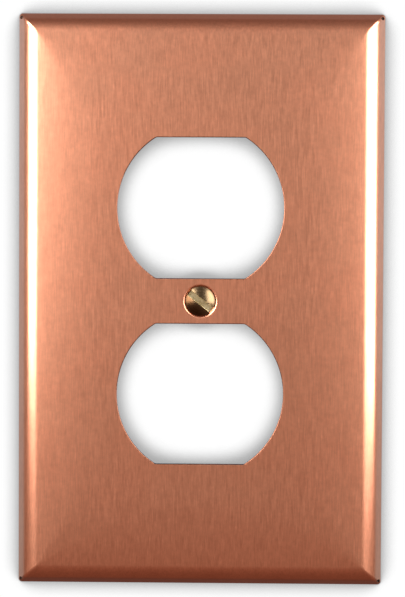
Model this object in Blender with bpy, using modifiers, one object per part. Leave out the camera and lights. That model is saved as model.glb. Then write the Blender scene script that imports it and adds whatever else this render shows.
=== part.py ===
# Duplex cover plate in bent copper sheet, with its brass screw and the washer that keeps the screw in it.
# Metres, +Z up. The wall is the plane y = 0 and the plate's face looks along -Y.
# The origin is where the screw's axis meets the wall.
import math

import bmesh
import bpy
from mathutils import Matrix

MM = 0.001

# Plate: width and height are taken at the rim that meets the wall
PLATE_WIDTH = 76.9 * MM
PLATE_HEIGHT = 120.3 * MM
PLATE_DEPTH = 5.6 * MM
SHEET = 1.0 * MM
BEND_RADIUS = 3.4 * MM  # of the outer surface
FLANGE_LEAN = math.radians(22)  # the flange spreads this far from square as it nears the wall
BEND_STEPS = 6

# Openings for the two receptacle faces: circles with a flat at top and bottom
OPENING_SPACING = 38.89 * MM
OPENING_RADIUS = 17.4 * MM
OPENING_FLAT = 14.7 * MM  # from the opening's centre
OPENING_CORNER = 0.8 * MM
OPENING_SEGMENTS = 72
CORNER_STEPS = 4

# Small relief notches where the side flanges end, at the four rim corners
NOTCH_RADIUS = 0.45 * MM
NOTCH_FROM_SIDE = 0.6 * MM
NOTCH_FROM_END = 0.95 * MM
NOTCH_FLOOR = 0.35 * MM  # left between the notch and the wall
NOTCH_SEGMENTS = 16

# Number 6 screw, 32 threads to the inch, half an inch long, slotted oval head
THREAD_PITCH = 25.4 * MM / 32
THREAD_RADIUS = 1.753 * MM
ROOT_RADIUS = 1.30 * MM
TIP_RADIUS = 1.2 * MM  # where the 45 degree chamfer meets the flat tip
SCREW_LENGTH = 12.7 * MM  # from the head's edge
HEAD_RADIUS = 3.08 * MM
HEAD_LAND = 0.1 * MM
HEAD_SINK = 0.05 * MM  # the head's edge lies this far below the face
DOME_HEIGHT = 0.95 * MM
DOME_STEPS = 8
CONE_HALF_ANGLE = math.radians(41)
SLOT_WIDTH = 1.35 * MM
SLOT_DEPTH = 1.3 * MM  # below the dome's top
SLOT_ANGLE = math.radians(-38)
RIDGE_TOP = 2.0 * MM  # below the face, inside the head's cone
RIDGE_ROOT = 0.1 * MM  # how deep the ridge is buried in the core
THREAD_STEPS = 20  # in each turn
TURNED_STEPS = 48  # around every turned piece

# Dimple: a countersink pressed through the sheet, which stands out as a boss behind
DIMPLE_RADIUS = 3.45 * MM
HOLE_RADIUS = 1.95 * MM
BOSS_DEPTH = 2.05 * MM  # from the face to the boss's flat lip

# Retaining washer, pushed onto the thread behind the plate
WASHER_RADIUS = 4.5 * MM
WASHER_HOLE = 1.85 * MM
WASHER_THICKNESS = 0.75 * MM
SCREW_TURNS = 3  # from seated until the washer stops against the boss
STOP_GAP = 0.15 * MM

SPARE = 1.0 * MM  # how far a cutter runs past what it cuts
WELD = 0.01 * MM


def clear_scene():
    for item in list(bpy.data.objects):
        bpy.data.objects.remove(item)


def new_collection(name):
    made = bpy.data.collections.new(name)
    bpy.context.scene.collection.children.link(made)
    return made


def metal_or_plastic(name, colour, roughness, metallic):
    made = bpy.data.materials.new(name)
    made.use_nodes = True
    shader = made.node_tree.nodes["Principled BSDF"]
    shader.inputs["Base Color"].default_value = (*colour, 1)
    shader.inputs["Roughness"].default_value = roughness
    shader.inputs["Metallic"].default_value = metallic
    return made


def object_from(name, mesh_maker, collection, material=None):
    bm = bmesh.new()
    mesh_maker(bm)
    mesh = bpy.data.meshes.new(name)
    bm.to_mesh(mesh)
    bm.free()
    made = bpy.data.objects.new(name, mesh)
    collection.objects.link(made)
    if material:
        mesh.materials.append(material)
    else:
        made.hide_render = True
        made.display_type = "WIRE"
    return made


def boolean(target, other, operation):
    step = target.modifiers.new(other.name, "BOOLEAN")
    step.operation = operation
    step.object = other


def lay_on_axis(item):
    """Turned pieces are made about their own Z, which this points out of the wall."""
    item.rotation_euler.x = math.radians(90)


def open_edges(bm):
    return [edge for edge in bm.edges if edge.is_boundary]


def turned_from(name, profile, collection, material=None):
    """A solid of revolution about Z from (radius, height) points, listed down its outer side."""

    def outline(bm):
        points = [bm.verts.new((radius, 0, height)) for radius, height in profile]
        for upper, lower in zip(points, points[1:]):
            bm.edges.new((upper, lower))

    made = object_from(name, outline, collection, material)
    turn = made.modifiers.new("turn", "SCREW")
    turn.steps = TURNED_STEPS
    turn.render_steps = TURNED_STEPS
    turn.use_merge_vertices = True
    turn.merge_threshold = WELD
    lay_on_axis(made)
    return made


def shade_round(item):
    item.data.shade_smooth()
    item.data.set_sharp_from_angle(angle=math.radians(30))


def shell_steps():
    """Points (distance out from the flat face's edge, y) round the bend, down the flange and back inside."""
    slope = math.radians(90) - FLANGE_LEAN
    angles = [slope * step / BEND_STEPS for step in range(BEND_STEPS + 1)]
    inner_radius = BEND_RADIUS - SHEET
    centre = BEND_RADIUS - PLATE_DEPTH
    outer = [(BEND_RADIUS * math.sin(a), centre - BEND_RADIUS * math.cos(a)) for a in angles]
    inner = [(inner_radius * math.sin(a), centre - inner_radius * math.cos(a)) for a in angles]
    rim = outer[-1][0] - outer[-1][1] * math.tan(FLANGE_LEAN)
    return outer[1:] + [(rim, 0), (rim - SHEET / math.cos(FLANGE_LEAN), 0)] + inner[::-1], rim


def plate_shell(bm):
    """The bent sheet: a flat face whose border is carried round the bend, over the rim and back inside."""
    steps, rim = shell_steps()
    bmesh.ops.create_grid(bm, x_segments=1, y_segments=1, size=1)
    bmesh.ops.rotate(bm, verts=bm.verts, matrix=Matrix.Rotation(math.radians(90), 3, "X"))
    face_size = (PLATE_WIDTH / 2 - rim, 1, PLATE_HEIGHT / 2 - rim)
    bmesh.ops.scale(bm, verts=bm.verts, vec=face_size)
    bmesh.ops.translate(bm, verts=bm.verts, vec=(0, -PLATE_DEPTH, 0))
    out = 0
    for next_out, depth in steps:
        made = bmesh.ops.extrude_edge_only(bm, edges=open_edges(bm))["geom"]
        for vert in (item for item in made if isinstance(item, bmesh.types.BMVert)):
            vert.co.x += (next_out - out) * math.copysign(1, vert.co.x)
            vert.co.z += (next_out - out) * math.copysign(1, vert.co.z)
            vert.co.y = depth
        out = next_out
    bmesh.ops.holes_fill(bm, edges=open_edges(bm), sides=4)
    bmesh.ops.recalc_face_normals(bm, faces=bm.faces)


def opening_cutter(bm):
    """A round bar with two flats, its four long corners eased."""
    bmesh.ops.create_cone(
        bm,
        cap_ends=True,
        segments=OPENING_SEGMENTS,
        radius1=OPENING_RADIUS,
        radius2=OPENING_RADIUS,
        depth=SHEET + 2 * SPARE,
    )
    for side in (1, -1):
        everything = bm.verts[:] + bm.edges[:] + bm.faces[:]
        flat = (0, side * OPENING_FLAT, 0)
        bmesh.ops.bisect_plane(bm, geom=everything, plane_co=flat, plane_no=(0, side, 0), clear_outer=True)
        bmesh.ops.holes_fill(bm, edges=open_edges(bm))
    corners = [
        edge
        for edge in bm.edges
        if abs(edge.verts[0].co.z - edge.verts[1].co.z) > SHEET and edge.calc_face_angle() > math.radians(20)
    ]
    bmesh.ops.bevel(
        bm, geom=corners, offset=OPENING_CORNER, segments=CORNER_STEPS, profile=0.5, affect="EDGES"
    )


def notch_cutter(bm):
    bmesh.ops.create_cone(
        bm,
        cap_ends=True,
        segments=NOTCH_SEGMENTS,
        radius1=NOTCH_RADIUS,
        radius2=NOTCH_RADIUS,
        depth=PLATE_DEPTH,
    )


def screw_profile():
    """Dome, head edge, cone and core, down past the tip, which is trimmed later."""
    edge_height = PLATE_DEPTH - HEAD_SINK
    sphere = (HEAD_RADIUS**2 + DOME_HEIGHT**2) / (2 * DOME_HEIGHT)
    spread = math.asin(HEAD_RADIUS / sphere)
    centre = edge_height + DOME_HEIGHT - sphere
    angles = [spread * step / DOME_STEPS for step in range(DOME_STEPS + 1)]
    dome = [(sphere * math.sin(angle), centre + sphere * math.cos(angle)) for angle in angles]
    cone_top = edge_height - HEAD_LAND
    cone_height = (HEAD_RADIUS - ROOT_RADIUS) / math.tan(CONE_HALF_ANGLE)
    tip = edge_height - SCREW_LENGTH
    below_tip = tip - SPARE / 2
    return dome + [
        (HEAD_RADIUS, cone_top),
        (ROOT_RADIUS, cone_top - cone_height),
        (ROOT_RADIUS, below_tip),
        (0, below_tip),
    ]


def thread_ridge(bm):
    """A right-handed V ridge from below the tip up into the head's cone."""
    lowest = PLATE_DEPTH - HEAD_SINK - SCREW_LENGTH - SPARE / 4
    turns = (PLATE_DEPTH - RIDGE_TOP - lowest) / THREAD_PITCH
    steps = round(turns * THREAD_STEPS)
    root_half = THREAD_PITCH * 3 / 8
    crest_half = THREAD_PITCH / 16
    buried = ROOT_RADIUS - RIDGE_ROOT
    flank_down = [(buried, -root_half), (THREAD_RADIUS, -crest_half)]
    flank_up = [(THREAD_RADIUS, crest_half), (buried, root_half)]
    verts = [bm.verts.new((radius, 0, lowest + height)) for radius, height in flank_down + flank_up]
    face = bm.faces.new(verts)
    bmesh.ops.spin(
        bm,
        geom=[face],
        axis=(0, 0, 1),
        dvec=(0, 0, THREAD_PITCH / THREAD_STEPS),
        angle=2 * math.pi * steps / THREAD_STEPS,
        steps=steps,
    )
    bmesh.ops.holes_fill(bm, edges=open_edges(bm), sides=4)
    bmesh.ops.recalc_face_normals(bm, faces=bm.faces)


def slot_cutter(bm):
    bmesh.ops.create_cube(bm, size=1)
    bmesh.ops.scale(bm, verts=bm.verts, vec=(4 * HEAD_RADIUS, SLOT_WIDTH, 2 * SLOT_DEPTH))


def make_plate(parts, cutters, copper):
    plate = object_from("wall_plate", plate_shell, parts, copper)

    wall_behind_cone = SHEET / math.cos(CONE_HALF_ANGLE)
    cone_slope = math.tan(CONE_HALF_ANGLE)
    boss_top = SHEET / 2
    boss = turned_from(
        "dimple_boss",
        [
            (0, PLATE_DEPTH - boss_top),
            (DIMPLE_RADIUS + wall_behind_cone - boss_top * cone_slope, PLATE_DEPTH - boss_top),
            (DIMPLE_RADIUS + wall_behind_cone - BOSS_DEPTH * cone_slope, PLATE_DEPTH - BOSS_DEPTH),
            (0, PLATE_DEPTH - BOSS_DEPTH),
        ],
        cutters,
    )
    boolean(plate, boss, "UNION")

    countersink_depth = (DIMPLE_RADIUS - HOLE_RADIUS) / cone_slope
    countersink = turned_from(
        "countersink",
        [
            (0, PLATE_DEPTH + SPARE),
            (DIMPLE_RADIUS + SPARE * cone_slope, PLATE_DEPTH + SPARE),
            (HOLE_RADIUS, PLATE_DEPTH - countersink_depth),
            (HOLE_RADIUS, PLATE_DEPTH - BOSS_DEPTH - SPARE),
            (0, PLATE_DEPTH - BOSS_DEPTH - SPARE),
        ],
        cutters,
    )
    boolean(plate, countersink, "DIFFERENCE")

    for name, side in (("upper", 1), ("lower", -1)):
        cutter = object_from(name + "_opening", opening_cutter, cutters)
        cutter.location = (0, SHEET / 2 - PLATE_DEPTH, side * OPENING_SPACING / 2)
        lay_on_axis(cutter)
        boolean(plate, cutter, "DIFFERENCE")

    for across in (1, -1):
        for up in (1, -1):
            cutter = object_from("corner_notch", notch_cutter, cutters)
            notch_x = across * (PLATE_WIDTH / 2 - NOTCH_FROM_SIDE)
            notch_z = up * (PLATE_HEIGHT / 2 - NOTCH_FROM_END)
            cutter.location = (notch_x, -NOTCH_FLOOR - PLATE_DEPTH / 2, notch_z)
            lay_on_axis(cutter)
            boolean(plate, cutter, "DIFFERENCE")
    shade_round(plate)


def make_screw(parts, cutters, brass):
    screw = turned_from("plate_screw", screw_profile(), parts, brass)

    ridge = object_from("thread_ridge", thread_ridge, cutters)
    lay_on_axis(ridge)
    boolean(screw, ridge, "UNION")

    tip = PLATE_DEPTH - HEAD_SINK - SCREW_LENGTH
    chamfer_top = tip + 2 * THREAD_RADIUS - TIP_RADIUS
    trimmer = turned_from(
        "tip_trimmer",
        [
            (0, tip),
            (TIP_RADIUS, tip),
            (2 * THREAD_RADIUS, chamfer_top),
            (2 * THREAD_RADIUS, tip - SPARE),
            (0, tip - SPARE),
        ],
        cutters,
    )
    boolean(screw, trimmer, "DIFFERENCE")

    slot = object_from("driver_slot", slot_cutter, cutters)
    slot.location.y = -(PLATE_DEPTH - HEAD_SINK + DOME_HEIGHT)
    slot.rotation_euler = (math.radians(90), -SLOT_ANGLE, 0)
    boolean(screw, slot, "DIFFERENCE")
    shade_round(screw)


def make_washer(parts, fibre):
    travel = SCREW_TURNS * THREAD_PITCH
    front = PLATE_DEPTH - BOSS_DEPTH - travel - STOP_GAP
    back = front - WASHER_THICKNESS
    outside = [(WASHER_HOLE, front), (WASHER_RADIUS, front), (WASHER_RADIUS, back), (WASHER_HOLE, back)]
    washer = turned_from("screw_retainer", outside + outside[:1], parts, fibre)
    shade_round(washer)


def main():
    clear_scene()
    parts = new_collection("duplex_cover_plate")
    cutters = new_collection("cutters")
    copper = metal_or_plastic("copper", (0.80, 0.46, 0.32), 0.3, 1.0)
    brass = metal_or_plastic("brass", (0.72, 0.55, 0.32), 0.25, 1.0)
    fibre = metal_or_plastic("fibre", (0.32, 0.12, 0.07), 0.7, 0.0)
    make_plate(parts, cutters, copper)
    make_screw(parts, cutters, brass)
    make_washer(parts, fibre)


main()
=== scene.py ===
import math

import bmesh
import bpy
from mathutils import Matrix, Vector


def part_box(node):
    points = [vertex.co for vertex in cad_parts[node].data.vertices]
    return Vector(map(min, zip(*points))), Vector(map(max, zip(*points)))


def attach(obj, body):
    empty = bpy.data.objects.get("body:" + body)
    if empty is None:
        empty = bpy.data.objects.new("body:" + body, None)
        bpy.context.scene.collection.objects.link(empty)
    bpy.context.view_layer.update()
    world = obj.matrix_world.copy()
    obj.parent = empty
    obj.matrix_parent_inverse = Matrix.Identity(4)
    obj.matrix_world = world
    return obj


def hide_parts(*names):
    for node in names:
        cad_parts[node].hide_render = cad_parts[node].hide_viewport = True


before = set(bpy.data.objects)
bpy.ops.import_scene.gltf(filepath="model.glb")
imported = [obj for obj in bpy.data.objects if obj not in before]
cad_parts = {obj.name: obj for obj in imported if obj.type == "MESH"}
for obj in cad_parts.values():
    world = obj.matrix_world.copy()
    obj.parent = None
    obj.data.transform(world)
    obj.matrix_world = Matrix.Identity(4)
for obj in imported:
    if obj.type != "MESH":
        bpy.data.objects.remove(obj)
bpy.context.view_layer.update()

mm = 0.001
shortTurn = math.radians(35)  # edges sharper than this stay crisp


def roundedProfile(corners, arcStep):
    # corners are (across, depth, radius); each radius becomes an arc of short steps
    points = [Vector(corners[0][:2])]
    for before, here, after in zip(corners, corners[1:], corners[2:]):
        tip = Vector(here[:2])
        if not here[2]:
            points.append(tip)
            continue
        back = (Vector(before[:2]) - tip).normalized()
        ahead = (Vector(after[:2]) - tip).normalized()
        half = back.angle(ahead) / 2
        centre = tip + (back + ahead).normalized() * here[2] / math.sin(half)
        start = tip + back * here[2] / math.tan(half)
        turn = math.pi - 2 * half
        if back.x * ahead.y - back.y * ahead.x > 0:
            turn = -turn
        steps = max(2, round(abs(turn) / arcStep))
        for step in range(steps + 1):
            spoke = start - centre
            spoke.rotate(Matrix.Rotation(turn * step / steps, 2))
            points.append(centre + spoke)
    points.append(Vector(corners[-1][:2]))
    return points


def carryLoop(bm, edges, place, material=0):
    # extrudes a closed loop of edges and puts each new vertex where place says
    made = bmesh.ops.extrude_edge_only(bm, edges=edges)["geom"]
    verts = [item for item in made if isinstance(item, bmesh.types.BMVert)]
    for item in made:
        if isinstance(item, bmesh.types.BMFace):
            item.material_index = material
    for vert in verts:
        vert.co = place(vert.co)
    return [item for item in made if isinstance(item, bmesh.types.BMEdge) and item.is_boundary]


def finishedPiece(name, bm, materials):
    mesh = bpy.data.meshes.new(name)
    bm.to_mesh(mesh)
    bm.free()
    for material in materials:
        mesh.materials.append(material)
    mesh.shade_smooth()
    mesh.set_sharp_from_angle(angle=shortTurn)
    piece = bpy.data.objects.new(name, mesh)
    bpy.context.scene.collection.objects.link(piece)
    return piece


def cutAway(piece, cutter, operation="DIFFERENCE"):
    # one Boolean step, applied at once, and the cutter is removed
    step = piece.modifiers.new("cut", "BOOLEAN")
    step.operation = operation
    step.object = cutter
    step.material_mode = "INDEX"
    bpy.context.view_layer.update()
    evaluated = piece.evaluated_get(bpy.context.evaluated_depsgraph_get())
    result = bpy.data.meshes.new_from_object(evaluated)
    piece.modifiers.clear()
    piece.data = result
    bpy.data.objects.remove(cutter)
    result.shade_smooth()
    result.set_sharp_from_angle(angle=shortTurn)


def turnedSurface(bm, profile, steps):
    # spins a profile of (radius, y) points about the screw's axis
    verts = [bm.verts.new((point.x, point.y, 0)) for point in profile]
    edges = [bm.edges.new(pair) for pair in zip(verts, verts[1:])]
    bmesh.ops.spin(
        bm, geom=verts + edges, cent=(0, 0, 0), axis=(0, 1, 0), dvec=(0, 0, 0),
        angle=2 * math.pi, steps=steps, use_merge=True,
    )
    bmesh.ops.remove_doubles(bm, verts=bm.verts, dist=0.002 * mm)
    bmesh.ops.recalc_face_normals(bm, faces=bm.faces)


def newGroup(name, inputs, outputs):
    group = bpy.data.node_groups.new(name, "ShaderNodeTree")
    for label, kind, value in inputs:
        socket = group.interface.new_socket(name=label, in_out="INPUT", socket_type=kind)
        if value is not None:
            socket.default_value = value
    for label, kind in outputs:
        group.interface.new_socket(name=label, in_out="OUTPUT", socket_type=kind)
    return group, group.nodes.new("NodeGroupInput"), group.nodes.new("NodeGroupOutput")


def mathNode(tree, operation, first, second):
    node = tree.nodes.new("ShaderNodeMath")
    node.operation = operation
    for slot, value in enumerate((first, second)):
        if isinstance(value, (int, float)):
            node.inputs[slot].default_value = value
        else:
            tree.links.new(value, node.inputs[slot])
    return node.outputs[0]


def scaledVector(tree, vector, factors):
    node = tree.nodes.new("ShaderNodeVectorMath")
    node.operation = "MULTIPLY"
    tree.links.new(vector, node.inputs[0])
    if isinstance(factors, (tuple, list)):
        node.inputs[1].default_value = factors
    else:
        tree.links.new(factors, node.inputs[1])
    return node.outputs[0]


def noiseNode(tree, vector, detail, rough, scale=1.0):
    node = tree.nodes.new("ShaderNodeTexNoise")
    tree.links.new(vector, node.inputs["Vector"])
    if isinstance(scale, (int, float)):
        node.inputs["Scale"].default_value = scale
    else:
        tree.links.new(scale, node.inputs["Scale"])
    node.inputs["Detail"].default_value = detail
    node.inputs["Roughness"].default_value = rough
    return node.outputs["Fac"]


def spread(tree, value, low, high, toLow=0.0, toHigh=1.0, smooth=True):
    node = tree.nodes.new("ShaderNodeMapRange")
    node.interpolation_type = "SMOOTHSTEP" if smooth else "LINEAR"
    tree.links.new(value, node.inputs["Value"])
    for label, number in (("From Min", low), ("From Max", high), ("To Min", toLow), ("To Max", toHigh)):
        if isinstance(number, (int, float)):
            node.inputs[label].default_value = number
        else:
            tree.links.new(number, node.inputs[label])
    return node.outputs["Result"]


def mixColour(tree, mask, first, second, blend="MIX"):
    node = tree.nodes.new("ShaderNodeMix")
    node.data_type = "RGBA"
    node.blend_type = blend
    if isinstance(mask, (int, float)):
        node.inputs[0].default_value = mask
    else:
        tree.links.new(mask, node.inputs[0])
    for slot, value in ((6, first), (7, second)):
        if isinstance(value, tuple):
            node.inputs[slot].default_value = (*value, 1)
        else:
            tree.links.new(value, node.inputs[slot])
    return node.outputs[2]


def uprightGrainGroup():
    # fine brushed lines that run along Z
    group, inside, outside = newGroup(
        "uprightGrain",
        [
            ("Vector", "NodeSocketVector", None),
            ("Line Pitch", "NodeSocketFloat", 3000.0),
            ("Line Length", "NodeSocketFloat", 12.0),
        ],
        [("Lines", "NodeSocketFloat"), ("Height", "NodeSocketFloat")],
    )
    along = mathNode(group, "DIVIDE", inside.outputs["Line Pitch"], inside.outputs["Line Length"])
    factors = group.nodes.new("ShaderNodeCombineXYZ")
    group.links.new(inside.outputs["Line Pitch"], factors.inputs[0])
    group.links.new(inside.outputs["Line Pitch"], factors.inputs[1])
    group.links.new(along, factors.inputs[2])
    stretched = scaledVector(group, inside.outputs["Vector"], factors.outputs[0])
    broad = noiseNode(group, stretched, 2, 0.55)
    fine = noiseNode(group, stretched, 2, 0.6, 4.3)
    lines = spread(group, broad, 0.3, 0.7, smooth=False)
    broadShare = mathNode(group, "MULTIPLY", broad, 0.6)
    fineShare = mathNode(group, "MULTIPLY", fine, 0.4)
    height = mathNode(group, "ADD", broadShare, fineShare)
    group.links.new(lines, outside.inputs["Lines"])
    group.links.new(height, outside.inputs["Height"])
    return group


def cloudyFilmGroup():
    # soft patches where the metal has dulled
    group, inside, outside = newGroup(
        "cloudyFilm",
        [
            ("Vector", "NodeSocketVector", None),
            ("Patch Scale", "NodeSocketFloat", 120.0),
            ("Start", "NodeSocketFloat", 0.42),
            ("End", "NodeSocketFloat", 0.68),
        ],
        [("Mask", "NodeSocketFloat"), ("Speckle", "NodeSocketFloat")],
    )
    patches = noiseNode(group, inside.outputs["Vector"], 4, 0.58, inside.outputs["Patch Scale"])
    mask = spread(group, patches, inside.outputs["Start"], inside.outputs["End"])
    finer = mathNode(group, "MULTIPLY", inside.outputs["Patch Scale"], 11.0)  # specks to a patch
    speckle = noiseNode(group, inside.outputs["Vector"], 3, 0.6, finer)
    group.links.new(mask, outside.inputs["Mask"])
    group.links.new(speckle, outside.inputs["Speckle"])
    return group


def latheMarksGroup():
    # rings about the screw's axis, from a wandering cutter
    group, inside, outside = newGroup(
        "latheMarks",
        [("Vector", "NodeSocketVector", None), ("Ring Pitch", "NodeSocketFloat", 9000.0)],
        [("Rings", "NodeSocketFloat")],
    )
    flat = scaledVector(group, inside.outputs["Vector"], (1, 0, 1))
    length = group.nodes.new("ShaderNodeVectorMath")
    length.operation = "LENGTH"
    group.links.new(flat, length.inputs[0])
    rings = group.nodes.new("ShaderNodeTexNoise")
    rings.noise_dimensions = "1D"
    outward = mathNode(group, "MULTIPLY", length.outputs["Value"], inside.outputs["Ring Pitch"])
    group.links.new(outward, rings.inputs["W"])
    rings.inputs["Scale"].default_value = 1.0
    rings.inputs["Detail"].default_value = 3
    group.links.new(rings.outputs["Fac"], outside.inputs["Rings"])
    return group


def placedGroup(tree, group, **values):
    node = tree.nodes.new("ShaderNodeGroup")
    node.node_tree = group
    for label, value in values.items():
        socket = node.inputs[label.replace("_", " ")]
        if isinstance(value, (int, float)):
            socket.default_value = value
        else:
            tree.links.new(value, socket)
    return node


def filmNode(tree, film, where, patches):
    scale, start, end = patches
    return placedGroup(tree, film, Vector=where, Patch_Scale=scale, Start=start, End=end)


def grainNode(tree, grain, where, look):
    pitch, length = look["linePitch"], look["lineLength"]
    return placedGroup(tree, grain, Vector=where, Line_Pitch=pitch, Line_Length=length)


def greyTone(tree, level):
    tone = tree.nodes.new("ShaderNodeCombineColor")
    for channel in range(3):
        tree.links.new(level, tone.inputs[channel])
    return tone.outputs[0]


def attributeMask(tree, name):
    node = tree.nodes.new("ShaderNodeAttribute")
    node.attribute_name = name
    return node.outputs["Fac"]


def newMaterial(name, constants):
    material = bpy.data.materials.new(name)
    material.use_nodes = True
    tree = material.node_tree
    shader = tree.nodes["Principled BSDF"]
    for label, value in constants.items():
        shader.inputs[label].default_value = value
    where = tree.nodes.new("ShaderNodeTexCoord").outputs["Object"]
    return material, tree, shader, where


def addBump(tree, shader, height, strength, distance):
    bump = tree.nodes.new("ShaderNodeBump")
    bump.inputs["Strength"].default_value = strength
    bump.inputs["Distance"].default_value = distance
    tree.links.new(height, bump.inputs["Height"])
    tree.links.new(bump.outputs["Normal"], shader.inputs["Normal"])


copperFinish = {
    "bright": (0.89, 0.382, 0.230),
    "dull": (0.82, 0.335, 0.198),
    "cut": (0.10, 0.036, 0.02),  # the openings' sheared walls and eased rims, darkened as painted shade
    "patches": (95.0, 0.36, 0.72),  # patches in a metre, where the dulling starts and ends
    "speckle": (0.93, 1.05),
    "roughness": 0.32,
    "roughnessSwing": 0.035,
    "dullRoughness": 0.02,
    "linePitch": 4600.0,  # lines in a metre
    "lineLength": 15.0,  # times their width
    "lineContrast": 0.11,
    "bump": 0.12,
    "bumpDepth": 0.004 * mm,
}


def brushedCopper(grain, film):
    look = copperFinish
    material, tree, shader, where = newMaterial(
        "brushedCopper", {"Metallic": 1.0, "Coat Weight": 0.04, "Coat Roughness": 0.2, "Coat IOR": 1.45}
    )
    lines = grainNode(tree, grain, where, look)
    clouds = filmNode(tree, film, where, look["patches"])
    colour = mixColour(tree, clouds.outputs["Mask"], look["bright"], look["dull"])
    darkLine, brightLine = 1 - look["lineContrast"], 1 + look["lineContrast"] * 0.3
    shade = spread(tree, lines.outputs["Lines"], 0, 1, darkLine, brightLine, smooth=False)
    mottled = spread(tree, clouds.outputs["Speckle"], 0.25, 0.75, *look["speckle"], smooth=False)
    level = mathNode(tree, "MULTIPLY", shade, mottled)
    colour = mixColour(tree, 1.0, colour, greyTone(tree, level), "MULTIPLY")
    # the openings' eased rims and walls take the dark cut colour: painted shade along the edges
    colour = mixColour(tree, attributeMask(tree, "cutEdgeShade"), colour, look["cut"])
    tree.links.new(colour, shader.inputs["Base Color"])
    smoothest = look["roughness"] - look["roughnessSwing"] / 2
    roughest = look["roughness"] + look["roughnessSwing"] / 2
    rough = spread(tree, lines.outputs["Lines"], 0, 1, smoothest, roughest, smooth=False)
    dulled = mathNode(tree, "MULTIPLY", clouds.outputs["Mask"], look["dullRoughness"])
    tree.links.new(mathNode(tree, "ADD", rough, dulled), shader.inputs["Roughness"])
    addBump(tree, shader, lines.outputs["Height"], look["bump"], look["bumpDepth"])
    return material


rawFinish = {
    "clean": (0.72, 0.36, 0.24),
    "brown": (0.34, 0.15, 0.09),
    "stain": (0.16, 0.07, 0.05),
    "patches": (55.0, 0.40, 0.66),
    "spots": (420.0, 0.60, 0.74),
    "spotStrength": 0.55,
    "roughness": 0.42,
    "brownRoughness": 0.2,
    "linePitch": 1400.0,
    "lineLength": 20.0,
    "bump": 0.25,
    "bumpDepth": 0.02 * mm,
}


def rawCopper(grain, film):
    look = rawFinish
    material, tree, shader, where = newMaterial("rawCopper", {"Metallic": 1.0})
    lines = grainNode(tree, grain, where, look)
    broad = filmNode(tree, film, where, look["patches"])
    spots = filmNode(tree, film, where, look["spots"])
    colour = mixColour(tree, broad.outputs["Mask"], look["clean"], look["brown"])
    stained = mathNode(tree, "MULTIPLY", spots.outputs["Mask"], look["spotStrength"])
    tree.links.new(mixColour(tree, stained, colour, look["stain"]), shader.inputs["Base Color"])
    browned = mathNode(tree, "MULTIPLY", broad.outputs["Mask"], look["brownRoughness"])
    tree.links.new(mathNode(tree, "ADD", look["roughness"], browned), shader.inputs["Roughness"])
    addBump(tree, shader, lines.outputs["Height"], look["bump"], look["bumpDepth"])
    return material


# painted shade for the floors of the corner notches: nearly black, with a few lighter specks
notchShadeFinish = {
    "shadeDeep": (0.035, 0.014, 0.008),
    "shadeSpecks": (0.10, 0.04, 0.02),
    "patches": (2600.0, 0.4, 0.7),
    "roughness": 0.75,
    "bump": 0.4,
    "bumpDepth": 0.02 * mm,
}


def notchShadeCopper(film):
    look = notchShadeFinish
    material, tree, shader, where = newMaterial(
        "notchShadeCopper", {"Roughness": look["roughness"], "Metallic": 0.3}
    )
    shadeSpecks = filmNode(tree, film, where, look["patches"])
    colour = mixColour(tree, shadeSpecks.outputs["Mask"], look["shadeDeep"], look["shadeSpecks"])
    tree.links.new(colour, shader.inputs["Base Color"])
    addBump(tree, shader, shadeSpecks.outputs["Speckle"], look["bump"], look["bumpDepth"])
    return material


brassFinish = {
    "bright": (0.70, 0.52, 0.30),
    "dull": (0.50, 0.35, 0.17),
    "agedPaintedLit": (0.175, 0.118, 0.064),  # the head's dome has browned; this is its side with painted light
    "agedPaintedShade": (0.075, 0.036, 0.016),
    "grimeAndRimShade": (0.05, 0.022, 0.01),
    "patches": (650.0, 0.38, 0.66),
    "paintedLightFrom": (0.75, 0, 0.45),  # painted light falls on this side of the dome, painted shade on the far side
    "paintedLightSpan": (-1.1 * mm, 1.2 * mm),
    "paintedLightRagged": 1.2 * mm,
    "roughness": (0.22, 0.35),
    "grimeRoughness": 0.25,
    "ringPitch": 9000.0,
    "bump": 0.35,
    "bumpDepth": 0.012 * mm,
}


def turnedBrass(marks, film):
    look = brassFinish
    material, tree, shader, where = newMaterial("turnedBrass", {"Metallic": 1.0})
    rings = placedGroup(tree, marks, Vector=where, Ring_Pitch=look["ringPitch"])
    clouds = filmNode(tree, film, where, look["patches"])
    colour = mixColour(tree, clouds.outputs["Mask"], look["bright"], look["dull"])
    # the dome's browned colour carries a painted gradient: lighter towards one side, darker on the other
    across = tree.nodes.new("ShaderNodeVectorMath")
    across.operation = "DOT_PRODUCT"
    across.inputs[1].default_value = look["paintedLightFrom"]
    tree.links.new(where, across.inputs[0])
    ragged = mathNode(tree, "MULTIPLY", clouds.outputs["Speckle"], look["paintedLightRagged"])
    worn = spread(tree, mathNode(tree, "ADD", across.outputs["Value"], ragged), *look["paintedLightSpan"])
    browned = mixColour(tree, worn, look["agedPaintedShade"], look["agedPaintedLit"])
    colour = mixColour(tree, attributeMask(tree, "agedFace"), colour, browned)
    patchy = spread(tree, clouds.outputs["Speckle"], 0.3, 0.6, 0.6, 1.0)
    # grime on the shank and painted shade at the head's rim
    dirtAndShade = mathNode(tree, "MULTIPLY", attributeMask(tree, "grimeAndRimShade"), patchy)
    tree.links.new(mixColour(tree, dirtAndShade, colour, look["grimeAndRimShade"]), shader.inputs["Base Color"])
    rough = spread(tree, rings.outputs["Rings"], 0.3, 0.7, *look["roughness"], smooth=False)
    grimy = mathNode(tree, "MULTIPLY", dirtAndShade, look["grimeRoughness"])
    tree.links.new(mathNode(tree, "ADD", rough, grimy), shader.inputs["Roughness"])
    addBump(tree, shader, rings.outputs["Rings"], look["bump"], look["bumpDepth"])
    return material


slotFinish = {
    "worn": (0.58, 0.48, 0.29),
    "deep": (0.37, 0.285, 0.14),
    "patches": (900.0, 0.35, 0.65),
    "roughness": (0.32, 0.52),
    "bump": 0.5,
    "bumpDepth": 0.02 * mm,
}


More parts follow.
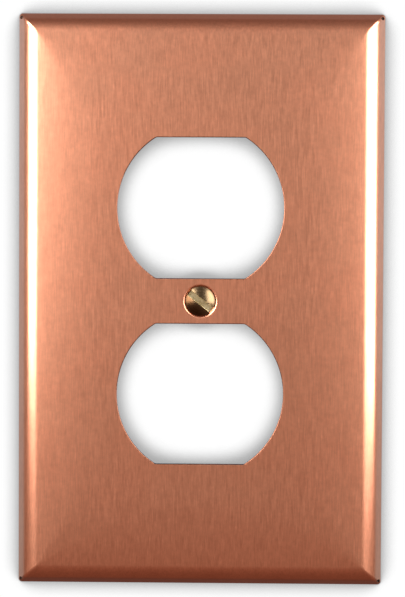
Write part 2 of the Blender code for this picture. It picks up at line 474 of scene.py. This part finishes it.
def slotBrass(film):
    look = slotFinish
    material, tree, shader, where = newMaterial("slotBrass", {"Metallic": 1.0})
    patches = filmNode(tree, film, where, look["patches"])
    colour = mixColour(tree, patches.outputs["Mask"], look["worn"], look["deep"])
    tree.links.new(colour, shader.inputs["Base Color"])
    rough = spread(tree, patches.outputs["Speckle"], 0.3, 0.7, *look["roughness"], smooth=False)
    tree.links.new(rough, shader.inputs["Roughness"])
    addBump(tree, shader, patches.outputs["Speckle"], look["bump"], look["bumpDepth"])
    return material


fibreFinish = {
    "base": (0.30, 0.11, 0.065),
    "fleck": (0.42, 0.19, 0.12),
    "dark": (0.17, 0.055, 0.035),
    "patches": (350.0, 0.4, 0.7),
    "flecks": (1500.0, 0.52, 0.7),
    "fleckStrength": 0.6,
    "roughness": (0.6, 0.82),
    "bump": 0.5,
    "bumpDepth": 0.05 * mm,
}


def redFibre(film):
    look = fibreFinish
    material, tree, shader, where = newMaterial("redFibre", {"Specular IOR Level": 0.35})
    flecks = filmNode(tree, film, where, look["flecks"])
    pressed = filmNode(tree, film, where, look["patches"])
    colour = mixColour(tree, pressed.outputs["Mask"], look["base"], look["dark"])
    flecked = mathNode(tree, "MULTIPLY", flecks.outputs["Mask"], look["fleckStrength"])
    tree.links.new(mixColour(tree, flecked, colour, look["fleck"]), shader.inputs["Base Color"])
    rough = spread(tree, flecks.outputs["Speckle"], 0.3, 0.7, *look["roughness"], smooth=False)
    tree.links.new(rough, shader.inputs["Roughness"])
    addBump(tree, shader, flecks.outputs["Speckle"], look["bump"], look["bumpDepth"])
    return material


plateLow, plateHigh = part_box("wall_plate")

plate = {
    "width": plateHigh.x - plateLow.x,
    "height": plateHigh.z - plateLow.z,
    "depth": plateHigh.y - plateLow.y,
    "sheet": 1.0 * mm,
    "bend": 3.4 * mm,  # outer radius
    "lean": math.radians(22),
    "rimEase": 0.08 * mm,
    "border": 0.4 * mm,  # flat margin kept inside the bend
    "crown": 15 * mm,  # the face rolls off over this width before the bend
    "crownTilt": math.radians(4.2),
    "crownSteps": 10,
    "crownCorner": 0.8,  # corner radius in the crown, times the distance from the bend
    "cornerStart": 0.3 * mm,
    "cornerRound": 0.75 * mm,  # corner radius at the rim
    "cornerSteps": 12,
    "openingSpacing": 38.89 * mm,
    "openingRadius": 17.4 * mm,
    "openingFlat": 14.7 * mm,
    "openingCorner": 0.8 * mm,
    "openingSegments": 128,
    "openingEase": 0.16 * mm,
    "openingMargin": 0.15 * mm,
    "easeSteps": 5,
    "easeShade": 0.7,  # how dark the eased edge starts, 1 is the cut wall
    "dimple": 3.42 * mm,
    "dimpleLip": 0.35 * mm,
    "dimpleSlope": math.tan(math.radians(41)),
    "hole": 1.95 * mm,
    "boss": 2.05 * mm,
    "bossLip": 0.35 * mm,
    "bossFoot": 0.45 * mm,
    "dimpleSteps": 96,
    "notch": 0.45 * mm,
    "notchTaper": 0.8,
    "notchFromSide": 0.6 * mm,
    "notchFromEnd": 0.95 * mm,
    "notchFloor": 0.35 * mm,
}


def bentBorder(bm):
    # the flat face's border, carried down its crown, round the bend, over the rim and back to the inside
    lean, sheet, depth = plate["lean"], plate["sheet"], plate["depth"]
    flat = plate["bend"] * math.tan((math.pi / 2 - lean) / 2)
    innerMeet = (plate["bend"] - sheet) * math.tan((math.pi / 2 - lean) / 2)
    rim = flat + depth * math.tan(lean)
    rimIn = rim - sheet / math.cos(lean)
    crown, tilt, steps = plate["crown"], plate["crownTilt"], plate["crownSteps"]
    rolled = []
    for step in range(steps + 1):
        rolled.append((crown * (step / steps - 1), crown * tilt / 2 * (step / steps) ** 2 - depth, 0))
    drop = rolled[-1][1]
    # where the crown's last slope would meet the flange
    meetX = (rim + drop * math.tan(lean)) / (1 + math.tan(tilt) * math.tan(lean))
    meetY = drop + meetX * math.tan(tilt)
    bend = math.hypot(meetX, meetY - drop) / math.tan((math.pi / 2 - lean - tilt) / 2)
    outer = roundedProfile(
        [(-crown - plate["border"], -depth, 0)] + rolled[:-1]
        + [(meetX, meetY, bend), (rim, 0, plate["rimEase"]), (rimIn, 0, plate["rimEase"]),
           (innerMeet, sheet - depth, plate["bend"] - sheet), (-plate["border"], sheet - depth, 0)],
        math.radians(3.5),
    )
    halfX, halfZ = plate["width"] / 2 - rim, plate["height"] / 2 - rim
    turnedIn = next(index for index, point in enumerate(outer) if point.y > -1e-7)

    def cornerRadius(index):
        if index > turnedIn + 2:
            return plate["cornerStart"]
        if outer[index].x < 0:
            return plate["cornerStart"] - outer[index].x * plate["crownCorner"]
        return plate["cornerStart"] + (plate["cornerRound"] - plate["cornerStart"]) * outer[index].x / rim

    bmesh.ops.create_grid(bm, x_segments=1, y_segments=1, size=1)
    bmesh.ops.rotate(bm, verts=bm.verts, matrix=Matrix.Rotation(math.radians(90), 3, "X"))
    start = outer[0]
    bmesh.ops.scale(bm, verts=bm.verts, vec=(halfX + start.x, 1, halfZ + start.x))
    bmesh.ops.translate(bm, verts=bm.verts, vec=(0, start.y, 0))
    bmesh.ops.bevel(
        bm, geom=bm.verts[:], offset=cornerRadius(0), segments=plate["cornerSteps"], profile=0.5,
        affect="VERTICES", material=-1, offset_type="OFFSET",
    )
    bmesh.ops.delete(bm, geom=bm.faces[:], context="FACES_ONLY")
    front = bm.edges[:]
    loop = front
    for index in range(1, len(outer)):
        oldRadius, newRadius = cornerRadius(index - 1), cornerRadius(index)
        oldOut, newOut = outer[index - 1].x, outer[index].x

        def place(co):
            side, end = math.copysign(1, co.x), math.copysign(1, co.z)
            oldCentre = Vector((side * (halfX + oldOut - oldRadius), end * (halfZ + oldOut - oldRadius)))
            newCentre = Vector((side * (halfX + newOut - newRadius), end * (halfZ + newOut - newRadius)))
            spot = newCentre + (Vector((co.x, co.z)) - oldCentre).normalized() * newRadius
            return Vector((spot.x, outer[index].y, spot.y))

        loop = carryLoop(bm, loop, place, 1 if index > turnedIn else 0)
    return front, loop


def openingEdge(bm, middle):
    # circle with two flats, corners eased; returns the margin ring's outside edges and the wall's back edges
    cut = bm.verts.layers.float["cutEdgeShade"]
    extra = plate["openingMargin"] + plate["openingEase"]
    before = set(bm.verts)
    edgesBefore = set(bm.edges)
    radius = plate["openingRadius"] + extra
    flat = plate["openingFlat"] + extra
    bmesh.ops.create_circle(bm, cap_ends=True, segments=plate["openingSegments"], radius=radius)
    made = [vert for vert in bm.verts if vert not in before]
    bmesh.ops.rotate(bm, verts=made, matrix=Matrix.Rotation(math.radians(90), 3, "X"))
    bmesh.ops.translate(bm, verts=made, vec=(0, -plate["depth"], middle))
    for side in (1, -1):
        verts = [vert for vert in bm.verts if vert not in before]
        edges = list({edge for vert in verts for edge in vert.link_edges})
        faces = list({face for vert in verts for face in vert.link_faces})
        bmesh.ops.bisect_plane(
            bm, geom=verts + edges + faces, plane_co=(0, 0, middle + side * flat),
            plane_no=(0, 0, side), clear_outer=True,
        )
    verts = [vert for vert in bm.verts if vert not in before]
    corners = [vert for vert in verts if vert.calc_edge_angle() > math.radians(15)]
    meet = math.acos(flat / radius)
    cornerReach = (plate["openingCorner"] + extra) * math.tan(meet / 2)
    bmesh.ops.bevel(
        bm, geom=corners, offset=cornerReach, segments=6, profile=0.5,
        affect="VERTICES", material=-1, offset_type="OFFSET",
    )
    face = next(face for face in bm.faces if len(face.verts) > plate["openingSegments"] / 2)
    margin = plate["openingMargin"]
    bmesh.ops.inset_individual(bm, faces=[face], thickness=margin, depth=0, use_even_offset=True)
    ease, steps = plate["openingEase"], plate["easeSteps"]
    # each step of the eased rim gets more painted shade, full at the wall
    for step in range(steps):
        angles = [math.pi / 2 * count / steps for count in (step, step + 1)]
        inward = ease * (math.sin(angles[1]) - math.sin(angles[0]))
        down = ease * (math.cos(angles[0]) - math.cos(angles[1]))
        bmesh.ops.inset_individual(bm, faces=[face], thickness=inward, depth=-down, use_even_offset=True)
        for vert in face.verts:
            vert[cut] = plate["easeShade"] + (1 - plate["easeShade"]) * (step + 1) / steps
    wall = bmesh.ops.extrude_discrete_faces(bm, faces=[face])["faces"]
    bmesh.ops.translate(bm, verts=wall[0].verts[:], vec=(0, plate["sheet"] - ease, 0))
    for vert in wall[0].verts:
        vert[cut] = 1.0
    bmesh.ops.delete(bm, geom=wall, context="FACES_ONLY")
    rims = [edge for edge in bm.edges if edge not in edgesBefore and edge.is_boundary]
    front = [edge for edge in rims if edge.verts[0].co.y < plate["sheet"] / 2 - plate["depth"]]
    back = [edge for edge in rims if edge not in front]
    return front, back


def pressedDimple(bm):
    # countersink for the oval head, which shows as a boss behind
    depth, sheet, slope = plate["depth"], plate["sheet"], plate["dimpleSlope"]
    wall = sheet / math.cos(math.atan(slope))
    dimple, hole = plate["dimple"], plate["hole"]
    outerTop = dimple + wall
    foot = outerTop - sheet * slope
    bossEnd = plate["boss"] - depth
    bossOut = outerTop - plate["boss"] * slope
    profile = roundedProfile(
        [
            (dimple + 0.6 * mm, -depth, 0),
            (dimple + 0.4 * mm, -depth, 0),
            (dimple, -depth, plate["dimpleLip"]),
            (hole, (dimple - hole) / slope - depth, 0.1 * mm),
            (hole, bossEnd, 0.06 * mm),
            (bossOut, bossEnd, plate["bossLip"]),
            (foot, sheet - depth, plate["bossFoot"]),
            (foot + 0.5 * mm, sheet - depth, 0),
            (foot + 0.7 * mm, sheet - depth, 0),
        ],
        math.radians(8),
    )
    before = set(bm.edges)
    steps = plate["dimpleSteps"]
    made = bmesh.ops.create_circle(bm, cap_ends=False, segments=steps, radius=profile[0].x)["verts"]
    bmesh.ops.rotate(bm, verts=made, matrix=Matrix.Rotation(math.radians(90), 3, "X"))
    bmesh.ops.translate(bm, verts=made, vec=(0, profile[0].y, 0))
    front = [edge for edge in bm.edges if edge not in before]
    loop = front
    near = 0.001 * mm
    for point in profile[1:]:
        onEnd = point.y > bossEnd - near
        onOutside = point.x > bossOut - near and point.y > sheet / 2 - depth

        def place(co):
            spoke = Vector((co.x, 0, co.z)).normalized() * point.x
            return Vector((spoke.x, point.y, spoke.z))

        loop = carryLoop(bm, loop, place, 1 if onEnd or onOutside else 0)
    return front, loop


def makePlate(materials):
    bm = bmesh.new()
    bm.verts.layers.float.new("cutEdgeShade")
    frontEdges, backEdges = bentBorder(bm)
    for side in (1, -1):
        outside, back = openingEdge(bm, side * plate["openingSpacing"] / 2)
        frontEdges = frontEdges + outside
        backEdges = backEdges + back
    front, back = pressedDimple(bm)
    frontEdges = frontEdges + front
    backEdges = backEdges + back
    bmesh.ops.triangle_fill(bm, use_beauty=True, use_dissolve=False, edges=frontEdges, normal=(0, -1, 0))
    before = set(bm.faces)
    bmesh.ops.triangle_fill(bm, use_beauty=True, use_dissolve=False, edges=backEdges, normal=(0, 1, 0))
    for face in bm.faces:
        if face not in before:
            face.material_index = 1
    bmesh.ops.recalc_face_normals(bm, faces=bm.faces)
    piece = finishedPiece("coverPlate", bm, materials)

    for across in (1, -1):
        for up in (1, -1):
            notch = bmesh.new()
            bmesh.ops.create_cone(
                notch, cap_ends=True, segments=24, radius1=plate["notch"] * plate["notchTaper"],
                radius2=plate["notch"], depth=plate["depth"],
            )
            bmesh.ops.rotate(notch, verts=notch.verts, matrix=Matrix.Rotation(math.radians(90), 3, "X"))
            spot = (
                across * (plate["width"] / 2 - plate["notchFromSide"]),
                -plate["notchFloor"] - plate["depth"] / 2,
                up * (plate["height"] / 2 - plate["notchFromEnd"]),
            )
            bmesh.ops.translate(notch, verts=notch.verts, vec=spot)
            # the notch floors get the painted-shade material
            for face in notch.faces:
                face.material_index = 2
            cutAway(piece, finishedPiece("notchCutter", notch, materials))
    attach(piece, "plate")
    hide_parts("wall_plate")
    print("cover plate:", len(piece.data.polygons), "faces")
    return piece


screwLow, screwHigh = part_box("plate_screw")

screw = {
    "top": screwLow.y,
    "tip": screwHigh.y,
    "head": 3.08 * mm,
    "land": 0.1 * mm,
    "domeHeight": 0.95 * mm,
    "domeSteps": 14,
    "edgeEase": 0.08 * mm,
    "coneSlope": math.tan(math.radians(41)),
    "pitch": 25.4 * mm / 32,
    "thread": 1.753 * mm,
    "root": 1.30 * mm,
    "tipRadius": 1.2 * mm,
    "slotWidth": 1.35 * mm,
    "slotDepth": 1.3 * mm,
    "slotTurn": math.radians(-38),
    "slotEase": 0.12 * mm,
    "steps": 96,
    "threadSteps": 40,
    "threadStart": 1.45 * mm,  # below the head's edge
    "rimShade": 0.75,
    "shankGrime": 0.35,
}


def makeScrew(materials):
    top, head = screw["top"], screw["head"]
    edge = top + screw["domeHeight"]
    sphere = (head**2 + screw["domeHeight"] ** 2) / (2 * screw["domeHeight"])
    reach = math.asin(head / sphere) * 0.97  # stops short, for the eased edge
    dome = []
    for step in range(screw["domeSteps"] + 1):
        angle = reach * step / screw["domeSteps"]
        dome.append(Vector((sphere * math.sin(angle), top + sphere * (1 - math.cos(angle)))))
    coneEnd = edge + screw["land"] + (head - screw["root"]) / screw["coneSlope"]
    rest = roundedProfile(
        [
            (*dome[-1], 0),
            (head, edge, screw["edgeEase"]),
            (head, edge + screw["land"], 0.03 * mm),
            (screw["root"], coneEnd, 0.3 * mm),
            (screw["root"], coneEnd + 0.5 * mm, 0),
            (0, coneEnd + 0.5 * mm, 0),
        ],
        math.radians(12),
    )
    bm = bmesh.new()
    turnedSurface(bm, dome + rest[1:], screw["steps"])
    body = finishedPiece("slottedScrew", bm, materials)

    # threaded shank: one pitch of the thread's outline, wound into a closed helicoid
    thread = bmesh.new()
    pitch, steps = screw["pitch"], screw["threadSteps"]
    start = edge + screw["threadStart"]
    crest, root = screw["thread"], screw["root"]
    outline = [(root, 0), (root, 0.0625), (crest, 0.47), (crest, 0.57), (root, 0.9375), (root, 1)]
    verts = [thread.verts.new((radius, start - pitch + pitch * along, 0)) for radius, along in outline]
    edges = [thread.edges.new(pair) for pair in zip(verts, verts[1:])]
    turns = math.ceil((screw["tip"] - start) / pitch) + 1
    bmesh.ops.spin(
        thread, geom=verts + edges, cent=(0, 0, 0), axis=(0, -1, 0), dvec=(0, pitch / steps, 0),
        angle=2 * math.pi * turns, steps=steps * turns, use_merge=False,
    )
    bmesh.ops.remove_doubles(thread, verts=thread.verts, dist=0.004 * mm)
    for where, facing in ((start, -1), (screw["tip"], 1)):
        everything = thread.verts[:] + thread.edges[:] + thread.faces[:]
        bmesh.ops.bisect_plane(
            thread, geom=everything, dist=0.001 * mm, plane_co=(0, where, 0),
            plane_no=(0, facing, 0), clear_outer=True,
        )
    # the chamfered tip
    for vert in thread.verts:
        limit = screw["tipRadius"] + (screw["tip"] - vert.co.y)
        radius = math.hypot(vert.co.x, vert.co.z)
        if radius > limit:
            vert.co.x *= limit / radius
            vert.co.z *= limit / radius
    bmesh.ops.holes_fill(thread, edges=[edge for edge in thread.edges if edge.is_boundary])
    bmesh.ops.recalc_face_normals(thread, faces=thread.faces)
    cutAway(body, finishedPiece("threadShank", thread, materials), "UNION")

    slot = bmesh.new()
    bmesh.ops.create_cube(slot, size=1)
    bmesh.ops.scale(slot, verts=slot.verts, vec=(4 * head, 2 * screw["slotDepth"], screw["slotWidth"]))
    floorEdges = [item for item in slot.edges if all(vert.co.y > 0 for vert in item.verts)]
    lower = [item for item in floorEdges if item.calc_length() > head]
    bmesh.ops.bevel(
        slot, geom=lower, offset=screw["slotEase"], segments=3, profile=0.5,
        affect="EDGES", material=-1, offset_type="OFFSET",
    )
    bmesh.ops.rotate(slot, verts=slot.verts, matrix=Matrix.Rotation(-screw["slotTurn"], 3, "Y"))
    bmesh.ops.translate(slot, verts=slot.verts, vec=(0, top, 0))
    for face in slot.faces:
        face.material_index = 1
    cutAway(body, finishedPiece("slotCutter", slot, materials))

    grimeAndRimShade = body.data.attributes.new("grimeAndRimShade", "FLOAT", "POINT")
    agedPaintedLit = body.data.attributes.new("agedFace", "FLOAT", "POINT")
    for vert, dirtAndShade, browned in zip(body.data.vertices, grimeAndRimShade.data, agedPaintedLit.data):
        browned.value = 1.0 if vert.co.y < edge + 0.02 * mm else 0.0
        # the head's rim darkens towards its edge as painted shade; the shank gets real grime
        radius = math.hypot(vert.co.x, vert.co.z)
        rimShare = max(0.0, min(1.0, (radius / head - 0.86) / 0.14))
        below = vert.co.y > edge + 0.05 * mm
        dirtAndShade.value = screw["shankGrime"] if below else screw["rimShade"] * rimShare**2
    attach(body, "screw")
    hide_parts("plate_screw")
    print("screw:", len(body.data.polygons), "faces")
    return body


washerLow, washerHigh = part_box("screw_retainer")

washer = {"hole": 1.85 * mm, "outerEase": 0.14 * mm, "innerEase": 0.05 * mm, "steps": 96}


def makeWasher(material):
    outer = washerHigh.x
    front, back = washerLow.y, washerHigh.y
    ease, inner = washer["outerEase"], washer["innerEase"]
    middle = (front + back) / 2
    hole = washer["hole"]
    profile = roundedProfile(
        [
            (hole, middle, 0), (hole, front, inner), (outer, front, ease),
            (outer, back, ease), (hole, back, inner), (hole, middle, 0),
        ],
        math.radians(18),
    )
    bm = bmesh.new()
    turnedSurface(bm, profile, washer["steps"])
    piece = finishedPiece("fibreWasher", bm, [material])
    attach(piece, "retainer")
    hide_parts("screw_retainer")
    print("washer:", len(piece.data.polygons), "faces")
    return piece


cameraSpot = {
    "distance": 500 * mm,
    "aside": 10.7 * mm,
    "above": 23.1 * mm,
    "aim": (0.48 * mm, -5.6 * mm, 0.57 * mm),
    "roll": math.radians(0.29),
    "lens": 143.0,
    "sensor": 36,
}


def makeCamera():
    data = bpy.data.cameras.new("camera")
    data.sensor_width = cameraSpot["sensor"]
    data.lens = cameraSpot["lens"]
    data.clip_start = 0.01
    data.clip_end = 10
    camera = bpy.data.objects.new("camera", data)
    bpy.context.scene.collection.objects.link(camera)
    camera.location = (cameraSpot["aside"], -cameraSpot["distance"], cameraSpot["above"])
    look = Vector(cameraSpot["aim"]) - camera.location
    facing = look.to_track_quat("-Z", "Y").to_matrix().to_4x4()
    camera.rotation_euler = (facing @ Matrix.Rotation(cameraSpot["roll"], 4, "Z")).to_euler()
    bpy.context.scene.camera = camera


softboxes = {
    "leftBox": {
        "at": (-0.17, -0.172, 0.122),
        "aim": (0.5, -0.172, 0.122),
        "size": (0.25, 0.28),
        "power": 2.95,
    },
    "rightBox": {
        "at": (0.17, -0.137, 0.106),
        "aim": (-0.5, -0.137, 0.106),
        "size": (0.285, 0.29),
        "power": 2.2,
    },
}


def makeLights():
    for name, box in softboxes.items():
        data = bpy.data.lights.new(name, "AREA")
        data.shape = "RECTANGLE"
        data.size, data.size_y = box["size"]
        data.energy = box["power"]
        light = bpy.data.objects.new(name, data)
        bpy.context.scene.collection.objects.link(light)
        light.location = box["at"]
        light.rotation_euler = (Vector(box["aim"]) - light.location).to_track_quat("-Z", "Y").to_euler()
        light.visible_camera = False


room = {
    # colour by the direction's height, from straight down (0) to straight up (1)
    "front": [
        (0.02, (0.19, 0.095, 0.07)),
        (0.16, (0.23, 0.112, 0.078)),
        (0.37, (0.25, 0.126, 0.09)),
        (0.41, (0.28, 0.168, 0.122)),
        (0.46, (0.30, 0.245, 0.212)),
        (0.53, (0.18, 0.168, 0.158)),
        (0.60, (0.12, 0.105, 0.096)),
        (0.70, (0.13, 0.103, 0.092)),
        (0.85, (0.16, 0.107, 0.091)),
        (0.97, (0.14, 0.085, 0.075)),
    ],
    "rear": [
        (0.00, (0.12, 0.07, 0.06)),
        (0.14, (0.12, 0.065, 0.055)),
        (0.28, (0.14, 0.10, 0.09)),
        (0.40, (0.34, 0.40, 0.42)),
        (0.50, (0.50, 0.64, 0.74)),
        (0.60, (0.50, 0.64, 0.74)),
        (0.78, (0.28, 0.25, 0.25)),
        (0.90, (0.17, 0.10, 0.09)),
    ],
    "turnsRear": (0.25, 0.65),  # the direction's Y where the front gives way to the rear
    "seen": (0.93, 0.93, 0.94),
}


def levelRamp(tree, height, stops):
    ramp = tree.nodes.new("ShaderNodeValToRGB")
    tree.links.new(height, ramp.inputs[0])
    elements = ramp.color_ramp.elements
    while len(elements) < len(stops):
        elements.new(0.5)
    for element, (place, colour) in zip(elements, stops):
        element.position = place
        element.color = (*colour, 1)
    return ramp.outputs["Color"]


def makeRoom():
    world = bpy.data.worlds.new("room")
    bpy.context.scene.world = world
    world.use_nodes = True
    tree = world.node_tree
    background = tree.nodes["Background"]
    split = tree.nodes.new("ShaderNodeSeparateXYZ")
    tree.links.new(tree.nodes.new("ShaderNodeTexCoord").outputs["Generated"], split.inputs[0])
    height = spread(tree, split.outputs["Z"], -1, 1, smooth=False)
    behind = spread(tree, split.outputs["Y"], *room["turnsRear"])
    front = levelRamp(tree, height, room["front"])
    rear = levelRamp(tree, height, room["rear"])
    colour = mixColour(tree, behind, front, rear)
    seen = tree.nodes.new("ShaderNodeLightPath").outputs["Is Camera Ray"]
    tree.links.new(mixColour(tree, seen, colour, room["seen"]), background.inputs["Color"])


stageSizes = {
    "wallGap": 0.3 * mm,
    "wallSize": 1.0,
    "floorDrop": 30 * mm,
    "floorSize": 6.0,
    "white": (0.88, 0.88, 0.88),
    # reach, where the shadow is full and where it ends, and its darkest level
    "shadows": [(6 * mm, 0.70, 0.92, 0.46), (14 * mm, 0.50, 0.74, 0.42)],
    "shadowSamples": 24,
}


def stageSheet(name, size, place, matrix, material):
    bm = bmesh.new()
    bmesh.ops.create_grid(bm, x_segments=1, y_segments=1, size=size / 2)
    bmesh.ops.transform(bm, matrix=Matrix.Translation(place) @ matrix, verts=bm.verts)
    sheet = finishedPiece(name, bm, [material])
    sheet.visible_glossy = False
    sheet.visible_transmission = False
    sheet.visible_shadow = False
    return sheet


def makeStage():
    # the wall shines evenly, so that no lamp's edge shows on it
    wallMaterial, tree, shader, _ = newMaterial(
        "paleWall",
        {"Base Color": (0, 0, 0, 1), "Roughness": 1.0, "Specular IOR Level": 0.0, "Emission Strength": 1.0},
    )
    # a soft contact shadow: the short reach finds the rim, the long one the openings' edges
    levels = []
    for reach, low, high, darkest in stageSizes["shadows"]:
        nearby = tree.nodes.new("ShaderNodeAmbientOcclusion")
        nearby.samples = stageSizes["shadowSamples"]
        nearby.inputs["Distance"].default_value = reach
        levels.append(spread(tree, nearby.outputs["AO"], low, high, darkest, 1.01, smooth=False))
    level = mathNode(tree, "MINIMUM", levels[0], levels[1])
    tree.links.new(greyTone(tree, level), shader.inputs["Emission Color"])
    # clear from behind, so that the back can be seen
    clear = tree.nodes.new("ShaderNodeBsdfTransparent")
    choose = tree.nodes.new("ShaderNodeMixShader")
    side = tree.nodes.new("ShaderNodeNewGeometry").outputs["Backfacing"]
    tree.links.new(side, choose.inputs[0])
    tree.links.new(shader.outputs[0], choose.inputs[1])
    tree.links.new(clear.outputs[0], choose.inputs[2])
    tree.links.new(choose.outputs[0], tree.nodes["Material Output"].inputs["Surface"])
    floorZ = plateLow.z - stageSizes["floorDrop"]
    upright = Matrix.Rotation(math.radians(90), 4, "X")
    size = stageSizes["wallSize"]
    wall = stageSheet("paleWall", size, (0, stageSizes["wallGap"], floorZ + size / 2), upright, wallMaterial)
    wall.visible_diffuse = False

    floorMaterial = newMaterial(
        "paleFloor", {"Base Color": (*stageSizes["white"], 1), "Roughness": 0.85, "Specular IOR Level": 0.1}
    )[0]
    stageSheet("paleFloor", stageSizes["floorSize"], (0, 0, floorZ), Matrix.Identity(4), floorMaterial)


makeCamera()
print("camera done")

grain = uprightGrainGroup()
film = cloudyFilmGroup()
marks = latheMarksGroup()
makePlate([brushedCopper(grain, film), rawCopper(grain, film), notchShadeCopper(film)])
makeScrew([turnedBrass(marks, film), slotBrass(film)])
makeWasher(redFibre(film))
makeLights()
makeRoom()
makeStage()
bpy.context.scene.view_settings.view_transform = "Standard"
print("stage done")
